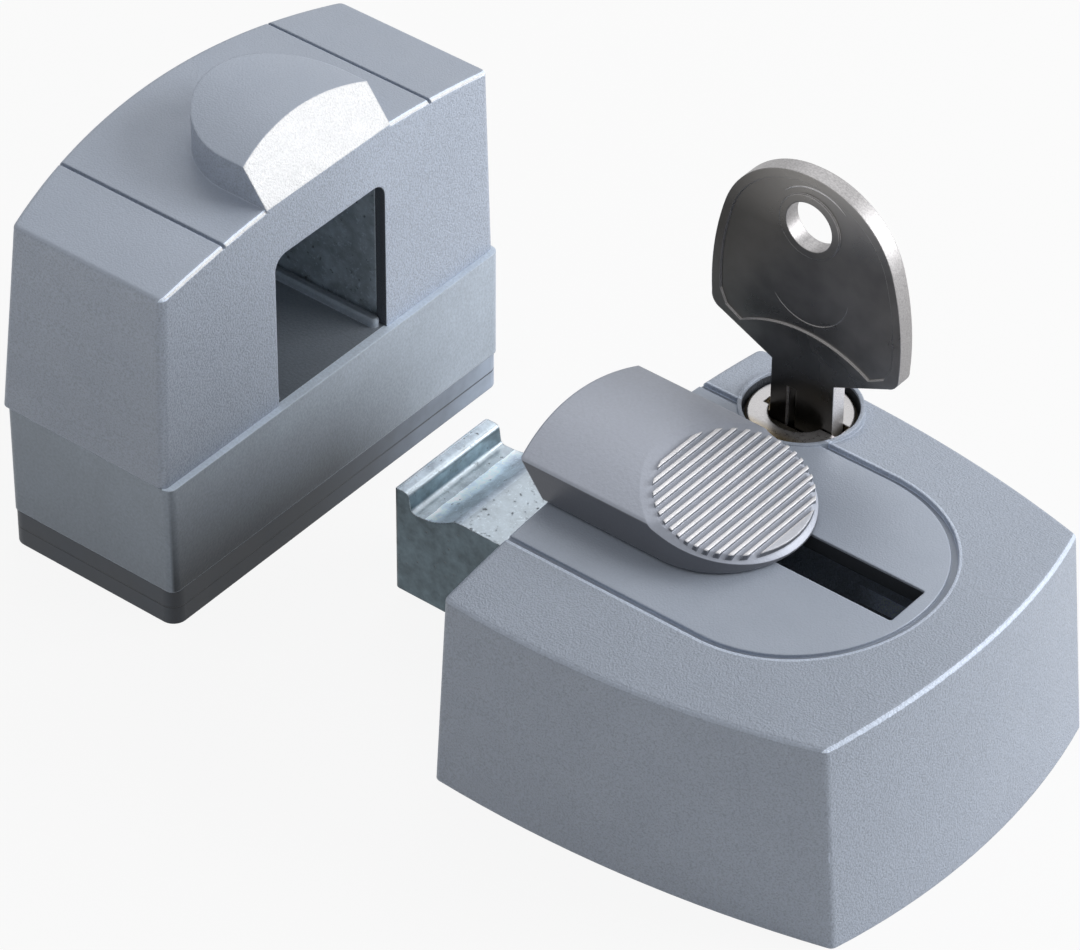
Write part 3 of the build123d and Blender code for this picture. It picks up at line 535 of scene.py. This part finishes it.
def plated(name, colour, pit, rough, stain, metallic=0.85, flank=None, grime=0.0, tone=None):
    """Plated metal with blotches, pits and painted highlights along the edges.

    flank is the painted shade of faces that don't look up, lighter where they face +Y, grime the dirt along
    the edges, and tone a function of the finish that gives the painted light and shade of each place.
    """
    look = Finish(name)
    blotch = look.grain(2.6 * MM, 4.0, 0.65)
    specks = look.grain(pit * 0.5, 2.0, 0.7)
    pits = look.span(look.grain(pit, 3.0, 0.55), 0.36, 0.27)
    base = look.tint(look.span(blotch, 0.35, 0.65), shade(colour, 0.72), shade(colour, 1.12))
    base = look.tint(look.span(specks, 0.58, 0.72, 0.0, 0.6), base, shade(colour, 1.5))
    # Painted shade on faces that don't look up, lighter on those that face +Y.
    if flank:
        cool = tuple(part * share for part, share in zip(colour, (0.86, 1.04, 1.1)))
        mottle = look.swing(look.grain(1.5 * MM, 3.0, 0.6))
        side = look.tint(mottle, shade(cool, 0.68 * flank), shade(cool, 1.32 * flank))
        side = look.scale(side, look.span(look.lean_y, -0.8, 0.2, 1.0, 2.4))
        base = look.tint(look.span(look.lean_z, 0.75, 0.25), base, side)
    # Painted light and shade.
    if tone:
        base = look.scale(base, tone(look))
    base = look.tint(look.times(pits, stain), base, shade(colour, 0.12))
    rounded, edge_strips = look.soft_edges(0.25 * MM)
    # Painted highlight along the edges.
    base = look.tint(look.times(edge_strips, 0.5), base, shade(colour, 1.5))
    if grime:
        arris = look.math("MAXIMUM", look.inside(look.math("ABSOLUTE", look.lean_y), 0.12, 0.96), edge_strips)
        soot = look.times(arris, look.span(look.grain(1.6 * MM, 3.0, 0.6), 0.42, 0.56, 0.0, grime))
        base = look.tint(soot, base, shade(colour, 0.08))
    height = look.math("SUBTRACT", look.times(specks, 0.35), pits)
    normal = look.bump(height, 0.05 * MM, rounded, 0.6)
    return look.set(Base_Color=base, Roughness=look.swing(blotch, *rough), Metallic=metallic, Normal=normal)


class RIMLOCK_OT_cast_cases(Operator):
    """Paint the lock's case and the keep's case"""

    bl_idname = "rimlock.cast_cases"
    bl_label = "Cast cases"

    def execute(self, context):
        cast = context.scene.rimlock_cast
        paint = tuple(cast.paint)
        lock = cast_paint("lock_case_paint", paint, cast, lock_calm, lock_painted_shade, lock_painted_light)
        lock.onto("lock_case")
        keep = cast_paint("keep_case_paint", paint, cast, keep_calm, keep_painted_shade, keep_painted_light, keep_highlight)
        keep.onto("keep_case")
        return {"FINISHED"}


class RIMLOCK_OT_thumb_slide(Operator):
    """Paint the thumb slide, polish the tops of its ribs and give them a painted sheen, with painted shade
    on its walls and in its valleys
    """

    bl_idname = "rimlock.thumb_slide"
    bl_label = "Thumb slide"

    def execute(self, context):
        paint = tuple(context.scene.rimlock_cast.satin)
        look = Finish("slide_paint")
        rest_x, rest_long, rest_wide = -7.75 * MM, 8.65 * MM, 10.3 * MM
        along = look.math("DIVIDE", look.math("SUBTRACT", look.x, rest_x), rest_long)
        across = look.math("DIVIDE", look.y, rest_wide)
        rest = look.under(look.radius(along, across), 1.0)
        rest_high, rest_slope, top_skin = 31.225 * MM, 0.25, 0.12 * MM
        rib_tops = look.math("SUBTRACT", rest_high, look.times(look.x, rest_slope))
        top = look.over(look.math("SUBTRACT", look.z, rib_tops), -top_skin)
        crescent = look.over(look.x, -0.1 * MM)
        polish_and_sheen = look.times(top, rest, look.where(crescent, 0.4))
        valley = look.times(rest, look.math("SUBTRACT", 1.0, top))
        cloud = look.grain(6 * MM, 3.0, 0.6)
        fine = look.grain(0.4 * MM, 2.0, 0.6)
        rounded, edge_strips = look.soft_edges(0.25 * MM)
        base = look.tint(look.swing(cloud), shade(paint, 0.97), shade(paint, 1.03))
        base = look.tint(look.times(look.swing(fine), 0.4), base, shade(paint, 1.2))
        # Painted shade on the slide's walls and in the valleys between the ribs.
        wall = look.span(look.lean_z, 0.45, 0.2, 0.0, 0.95)
        base = look.tint(wall, base, shade(paint, 0.28))
        base = look.scale(base, look.where(valley, 0.92))
        # Painted highlight along the edges.
        base = look.tint(look.times(edge_strips, 0.35), base, shade(paint, 1.6))
        # Polished rib tops, made paler by a painted sheen.
        base = look.tint(polish_and_sheen, base, (0.84, 0.84, 0.87))
        normal = look.bump(fine, 0.05 * MM, rounded, 0.7)
        rough = look.math("SUBTRACT", look.swing(cloud, 0.38, 0.46), look.times(polish_and_sheen, 0.14))
        look.set(Base_Color=base, Roughness=rough, Metallic=0.15, Normal=normal).onto("thumb_slide")
        return {"FINISHED"}


class RIMLOCK_OT_bolt(Operator):
    """Plate the bolt with pitted zinc"""

    bl_idname = "rimlock.bolt"
    bl_label = "Bolt"

    def execute(self, context):
        metal = context.scene.rimlock_metal
        look = plated(
            "bolt_zinc",
            tuple(metal.zinc),
            metal.pit_size,
            rough=(0.28, 0.46),
            stain=0.85,
            metallic=0.7,
            flank=0.2,
            grime=0.9,
            tone=bolt_painted_light,
        )
        look.onto("bolt")
        return {"FINISHED"}


class RIMLOCK_OT_cylinder(Operator):
    """Nickel on the plug, brass wafers, and steel for the coil and leaf springs"""

    bl_idname = "rimlock.cylinder"
    bl_label = "Cylinder"

    def execute(self, context):
        metal = context.scene.rimlock_metal
        nickel, brass, steel = tuple(metal.nickel), tuple(metal.brass), tuple(metal.steel)
        look = Finish("plug_nickel")
        specks = look.grain(0.5 * MM, 3.0, 0.65)
        patch = shade(brass, 0.4)
        base = look.tint(look.swing(specks), shade(nickel, 0.7), shade(nickel, 0.86))
        rim = look.span(look.z, 27.62 * MM, 27.45 * MM, 0.0, 0.8)
        base = look.tint(rim, base, patch)
        dish = look.span(look.z, 27.3 * MM, 26.5 * MM)
        base = look.tint(dish, base, (0.13, 0.12, 0.1))
        near_side = look.span(look.y, 17.6 * MM, 16.2 * MM, 0.0, 0.8)
        base = look.tint(near_side, base, patch)
        rounded, _ = look.soft_edges(0.2 * MM)
        normal = look.bump(specks, 0.03 * MM, rounded, 0.4)
        rough = look.swing(specks, 0.24, 0.38)
        look.set(Base_Color=base, Roughness=rough, Metallic=0.9, Normal=normal).onto("cylinder_plug")
        wafers = plated("wafer_brass", brass, 0.5 * MM, rough=(0.25, 0.4), stain=0.2, metallic=1.0)
        wafers.onto("wafers")
        springs = plated("spring_steel", steel, 0.4 * MM, rough=(0.25, 0.4), stain=0.2, metallic=1.0)
        springs.onto("wafer_springs", "detent_spring")
        return {"FINISHED"}


def stamped_ridge(name, centre, radius, height, width, start, end):
    """Low rounded ridge along an arc on the key's near face, with thin ends.

    centre is X and Z. start and end are degrees, which run from +X over the top.
    """
    foot = 0.04 * MM  # part of the height that is sunk into the face
    thinnest = 0.05
    steps, turns = 96, 8
    shell = bmesh.new()
    rows = []
    for step in range(steps + 1):
        share = step / steps
        angle = math.radians(start + (end - start) * share)
        swell = max(thinnest, math.sin(math.pi * share)) ** 0.5
        row = []
        for turn in range(turns + 1):
            bow = math.pi * turn / turns
            out = radius + 0.5 * width * swell * math.cos(bow)
            rise = height * swell * math.sin(bow) - foot
            x = centre[0] + out * math.cos(angle)
            z = centre[1] + out * math.sin(angle)
            row.append(shell.verts.new((x, KEY_FACE_Y - rise, z)))
        rows.append(row)
    shell.faces.new(rows[0])
    shell.faces.new(rows[-1])
    for here, there in zip(rows, rows[1:]):
        for turn in range(turns + 1):
            after = (turn + 1) % (turns + 1)
            shell.faces.new((here[turn], here[after], there[after], there[turn]))
    bmesh.ops.recalc_face_normals(shell, faces=shell.faces)
    for face in shell.faces:
        face.smooth = True
    mesh = bpy.data.meshes.new(name)
    shell.to_mesh(mesh)
    shell.free()
    piece = bpy.data.objects.new(name, mesh)
    bpy.context.collection.objects.link(piece)
    return piece


class RIMLOCK_OT_key(Operator):
    """Nickel on the key, tarnished on its faces and rubbed on its edges, with painted light and shade on its
    faces, painted highlights on its edges and crest, and two ridges on its near face
    """

    bl_idname = "rimlock.key"
    bl_label = "Key"

    def execute(self, context):
        metal = context.scene.rimlock_metal
        nickel, tarnish = tuple(metal.nickel), tuple(metal.tarnish)
        look = Finish("key_nickel")
        flat = look.over(look.math("ABSOLUTE", look.lean_y), 0.92)
        smear = look.grain(6 * MM, 3.0, 0.55)
        scratch = look.grain(0.16 * MM, 2.0, 0.6, (0.5, 1.0, 1.0))
        tarnish_and_light = look.tint(look.swing(smear), shade(tarnish, 0.85), shade(tarnish, 1.25))
        # Painted light and shade over the tarnish: lighter on the top of the bow and low on the faces,
        # darker to the left and on the blade.
        bow_top = look.span(look.z, 53 * MM, 61 * MM, 0.0, 0.9)
        tarnish_and_light = look.tint(bow_top, tarnish_and_light, shade(tarnish, 2.6))
        tarnish_and_light = look.scale(tarnish_and_light, look.span(look.z, 50 * MM, 38 * MM, 0.85, 1.6))
        tarnish_and_light = look.scale(tarnish_and_light, look.span(look.x, -25 * MM, -8 * MM, 0.52, 1.15))
        blade = look.span(look.z, 38 * MM, 33 * MM, 0.0, 0.9)
        tarnish_and_light = look.tint(blade, tarnish_and_light, shade(tarnish, 0.6))
        bright = look.tint(look.span(scratch, 0.35, 0.65), shade(nickel, 0.62), shade(nickel, 0.9))
        # Painted highlight on the blade's edges.
        bright = look.scale(bright, look.span(look.z, 37 * MM, 35 * MM, 1.0, 2.2))
        base = look.tint(flat, bright, tarnish_and_light)
        rounded, edge_strips = look.soft_edges(0.2 * MM)
        # Painted highlight along the edges.
        base = look.tint(look.times(edge_strips, 0.5), base, shade(nickel, 1.1))
        normal = look.bump(scratch, 0.015 * MM, rounded, 0.3)
        edge = look.math("SUBTRACT", 1.0, flat)
        rough = look.math("MAXIMUM", look.swing(smear, 0.24, 0.36), look.times(edge, 0.48))
        look.set(Base_Color=base, Roughness=rough, Metallic=1.0, Normal=normal).onto("key")

        stamp = stamped_ridge(
            "key_stamp_arc",
            centre=(-13.7 * MM, 47.2 * MM),
            radius=metal.stamp_radius,
            height=metal.stamp_height,
            width=metal.ridge_width,
            start=178,
            end=392,
        )
        stamp.data.materials.append(look.material)
        crest = stamped_ridge(
            "key_hole_crest",
            centre=(-13 * MM, 54.65 * MM),
            radius=metal.crest_radius,
            height=metal.crest_height,
            width=metal.ridge_width,
            start=42,
            end=142,
        )
        # Painted highlight: the crest is paler so that it shows as a lit ridge.
        pale = shade(nickel, 1.4)
        painted_highlight = plated("crest_nickel", pale, 0.5 * MM, rough=(0.3, 0.42), stain=0.1, metallic=1.0)
        crest.data.materials.append(painted_highlight.material)
        for piece in (stamp, crest):
            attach(piece, "key")
        return {"FINISHED"}


class RIMLOCK_OT_inner_pieces(Operator):
    """Zinc on the plate, the cam, the bracket and the screws"""

    bl_idname = "rimlock.inner_pieces"
    bl_label = "Inner pieces"

    def execute(self, context):
        zinc = tuple(context.scene.rimlock_metal.zinc)
        plate = plated("plate_zinc", zinc, 0.6 * MM, rough=(0.3, 0.45), stain=0.3)
        plate.onto("base_plate", "cam", "cam_washer", "detent_rivet")
        screws = plated("screw_zinc", shade(zinc, 1.1), 0.4 * MM, rough=(0.22, 0.36), stain=0.3)
        screws.onto("case_screws", "slide_screw", "cam_screw", "keep_screw")
        bracket = plated("bracket_zinc", shade(zinc, 0.95), MM, rough=(0.32, 0.5), stain=0.8, metallic=0.5)
        bracket.onto("keep_bracket")
        return {"FINISHED"}


class RIMLOCK_OT_riser(Operator):
    """Paint the riser and mould the two spacer plates"""

    bl_idname = "rimlock.riser"
    bl_label = "Riser and spacers"

    def execute(self, context):
        cast = context.scene.rimlock_cast
        self.paint_riser(tuple(cast.riser))
        self.mould_spacers(tuple(cast.slate))
        return {"FINISHED"}

    def paint_riser(self, paint):
        """Satin paint with painted light along the front, painted shade at the front's foot, near end and in
        the portal, and a painted highlight on the ledge.
        """
        look = Finish("riser_paint")
        cloud = look.grain(8 * MM, 3.0, 0.6)
        fine = look.grain(0.35 * MM, 2.0, 0.6)
        rounded, edge_strips = look.soft_edges(0.3 * MM)
        front = look.span(look.lean_x, 0.5, 0.8)
        base = look.tint(look.swing(cloud), shade(paint, 0.95), shade(paint, 1.05))
        # Painted light: the front lighter towards its far end.
        base = look.scale(base, look.where(front, look.span(look.y, -28 * MM, 28 * MM, 0.62, 1.32)))
        # Painted shade low on the front, strongest at its near end, and weaker low on the sides.
        foot = look.math("MAXIMUM", look.times(front, look.span(look.y, 26 * MM, 0.0)), 0.2)
        foot = look.times(foot, look.span(look.z, 19 * MM, 6 * MM, 0.0, 0.85))
        base = look.scale(base, look.where(foot, 0.12))
        # Painted shade on the portal's floor and a painted highlight on the ledge.
        portal = look.times(look.span(look.lean_z, 0.8, 0.95), look.under(look.x, KEEP_FRONT_X))
        ledge = look.times(look.span(look.lean_z, 0.3, 0.5), look.over(look.x, KEEP_FRONT_X))
        base = look.scale(base, look.where(portal, look.span(look.y, -8 * MM, 8 * MM, 0.4, 0.55)))
        base = look.scale(base, look.where(ledge, 1.75))
        # Painted highlight along the edges.
        base = look.tint(look.times(edge_strips, 0.5), base, shade(paint, 1.9))
        base = look.scale(base, look.swing(fine, 0.9, 1.08))
        normal = look.bump(fine, 0.08 * MM, rounded, 0.6)
        rough = look.swing(cloud, 0.32, 0.42)
        look.set(Base_Color=base, Roughness=rough, Normal=normal, Specular_IOR_Level=0.18)
        look.onto("riser_block")

    def mould_spacers(self, slate):
        """Dark moulding with painted light at the far end of the front and painted highlights on the edges,
        and a seam where the two plates meet.
        """
        look = Finish("spacer_slate")
        cloud = look.grain(5 * MM, 3.0, 0.6)
        fine = look.grain(0.25 * MM, 2.0, 0.6)
        base = look.tint(look.swing(cloud), shade(slate, 0.85), shade(slate, 1.2))
        front = look.span(look.lean_x, 0.3, 0.7)
        far = look.span(look.y, -8 * MM, 29 * MM)
        # Painted light: the front lighter towards its far end.
        base = look.scale(base, look.where(front, look.math("ADD", look.times(far, far, 5.0), 0.55)))
        seam = look.inside(look.z, 2.38 * MM, 2.62 * MM)
        base = look.scale(base, look.where(seam, 0.3))
        rounded, edge_strips = look.soft_edges(0.2 * MM)
        # Painted highlight along the edges.
        base = look.tint(look.times(edge_strips, 0.4), base, shade(slate, 2.0))
        normal = look.bump(fine, 0.02 * MM, rounded, 0.3)
        rough = look.swing(cloud, 0.42, 0.52)
        look.set(Base_Color=base, Roughness=rough, Normal=normal, Specular_IOR_Level=0.35)
        look.onto("spacer_upper", "spacer_lower")


def lamp(name, place, size, power):
    """Rectangular lamp that looks at the middle of the set."""
    aim = Vector((-0.03, 0, 0.03))
    data = bpy.data.lights.new(name, "AREA")
    data.shape = "RECTANGLE"
    data.size, data.size_y = size
    data.energy = power
    made = bpy.data.objects.new(name, data)
    made.location = place
    made.rotation_euler = (aim - Vector(place)).to_track_quat("-Z", "Y").to_euler()
    bpy.context.collection.objects.link(made)


class RIMLOCK_OT_stage(Operator):
    """Lay the floor and set the lamps, the room light and the camera"""

    bl_idname = "rimlock.stage"
    bl_label = "Stage"

    def execute(self, context):
        scene = context.scene
        stage = scene.rimlock_stage
        self.lay_floor(context, stage)
        self.light_room(scene, stage)
        lamp("key_lamp", (0.46, 0.42, 0.32), (0.5, 0.4), stage.key_power)
        lamp("back_lamp", (-0.24, 0.44, 0.54), (0.45, 0.35), stage.back_power)
        self.place_camera(context, stage)
        scene.view_settings.view_transform = "Standard"
        return {"FINISHED"}

    def lay_floor(self, context, stage):
        """Pale floor just under the set, nearly white to the camera and in reflections."""
        half = 3.0
        corners = [(-half, -half, 0), (half, -half, 0), (half, half, 0), (-half, half, 0)]
        mesh = bpy.data.meshes.new("floor")
        mesh.from_pydata(corners, [], [(0, 1, 2, 3)])
        floor = bpy.data.objects.new("floor", mesh)
        floor.location.z = -0.05 * MM
        context.collection.objects.link(floor)

        look = Finish("floor_white")
        colour = tuple(stage.floor)
        base = look.tint(look.grain(0.4), shade(colour, 0.99), shade(colour, 1.01))
        look.set(Base_Color=base, Roughness=0.7)
        glow = look.node("ShaderNodeEmission", Color=(1, 1, 1, 1), Strength=1.0)
        path = look.node("ShaderNodeLightPath").outputs
        seen = look.math("ADD", path["Is Camera Ray"], path["Is Glossy Ray"])
        seen = look.math("ADD", seen, path["Is Transmission Ray"], clamp=True)
        mix = look.node("ShaderNodeMixShader")
        look.feed(mix.inputs[0], look.times(seen, 0.9))
        look.feed(mix.inputs[1], look.shader.outputs[0])
        look.feed(mix.inputs[2], glow.outputs[0])
        look.feed(look.tree.nodes["Material Output"].inputs["Surface"], mix.outputs[0])
        mesh.materials.append(look.material)

    def light_room(self, scene, stage):
        """Even room light, white to the camera and in reflections."""
        world = bpy.data.worlds.new("room")
        world.use_nodes = True
        scene.world = world
        nodes, links = world.node_tree.nodes, world.node_tree.links
        light = nodes["Background"]
        light.inputs["Color"].default_value = (1, 1, 1, 1)
        path = nodes.new("ShaderNodeLightPath").outputs
        rays = nodes.new("ShaderNodeCombineXYZ")
        for socket, kind in zip(rays.inputs, ("Is Camera Ray", "Is Glossy Ray", "Is Transmission Ray")):
            links.new(path[kind], socket)
        seen = nodes.new("ShaderNodeVectorMath")
        seen.operation = "DOT_PRODUCT"
        links.new(rays.outputs[0], seen.inputs[0])
        seen.inputs[1].default_value = (1, 1, 1)
        strength = nodes.new("ShaderNodeMapRange")
        links.new(seen.outputs["Value"], strength.inputs["Value"])
        strength.inputs["To Min"].default_value = stage.room
        strength.inputs["To Max"].default_value = 1.0
        links.new(strength.outputs[0], light.inputs["Strength"])

    def place_camera(self, context, stage):
        """Camera at the photograph's viewing angle."""
        a, e, r = stage.azimuth, stage.elevation, stage.roll
        right = Vector((math.cos(a), math.sin(a), 0))
        up = Vector((-math.sin(a) * math.sin(e), math.cos(a) * math.sin(e), math.cos(e)))
        back = right.cross(up)
        side = right * math.cos(r) - up * math.sin(r)
        head = right * math.sin(r) + up * math.cos(r)
        data = bpy.data.cameras.new("camera")
        data.lens = stage.lens
        data.sensor_fit = "HORIZONTAL"
        data.sensor_width = 36
        data.clip_start = 0.01
        camera = bpy.data.objects.new("camera", data)
        camera.matrix_world = Matrix((side, head, back)).transposed().to_4x4()
        camera.location = stage.eye
        context.collection.objects.link(camera)
        context.scene.camera = camera


STEPS = (
    RIMLOCK_OT_cast_cases,
    RIMLOCK_OT_thumb_slide,
    RIMLOCK_OT_bolt,
    RIMLOCK_OT_cylinder,
    RIMLOCK_OT_key,
    RIMLOCK_OT_inner_pieces,
    RIMLOCK_OT_riser,
    RIMLOCK_OT_stage,
)


class RIMLOCK_PT_finishes(Panel):
    """Lists the steps in the order that they run"""

    bl_idname = "RIMLOCK_PT_finishes"
    bl_label = "Rim lock"
    bl_space_type = "VIEW_3D"
    bl_region_type = "UI"
    bl_category = "Rim lock"

    def draw(self, context):
        for step in STEPS:
            self.layout.operator(step.bl_idname)


SETTINGS = (CastSettings, MetalSettings, StageSettings)


def register():
    for kind in SETTINGS + STEPS + (RIMLOCK_PT_finishes,):
        bpy.utils.register_class(kind)
    bpy.types.Scene.rimlock_cast = PointerProperty(type=CastSettings)
    bpy.types.Scene.rimlock_metal = PointerProperty(type=MetalSettings)
    bpy.types.Scene.rimlock_stage = PointerProperty(type=StageSettings)


def unregister():
    del bpy.types.Scene.rimlock_cast
    del bpy.types.Scene.rimlock_metal
    del bpy.types.Scene.rimlock_stage
    for kind in reversed(SETTINGS + STEPS + (RIMLOCK_PT_finishes,)):
        bpy.utils.unregister_class(kind)


def main():
    register()
    for step in STEPS:
        group, name = step.bl_idname.split(".")
        getattr(getattr(bpy.ops, group), name)()


if __name__ == "__main__":
    main()
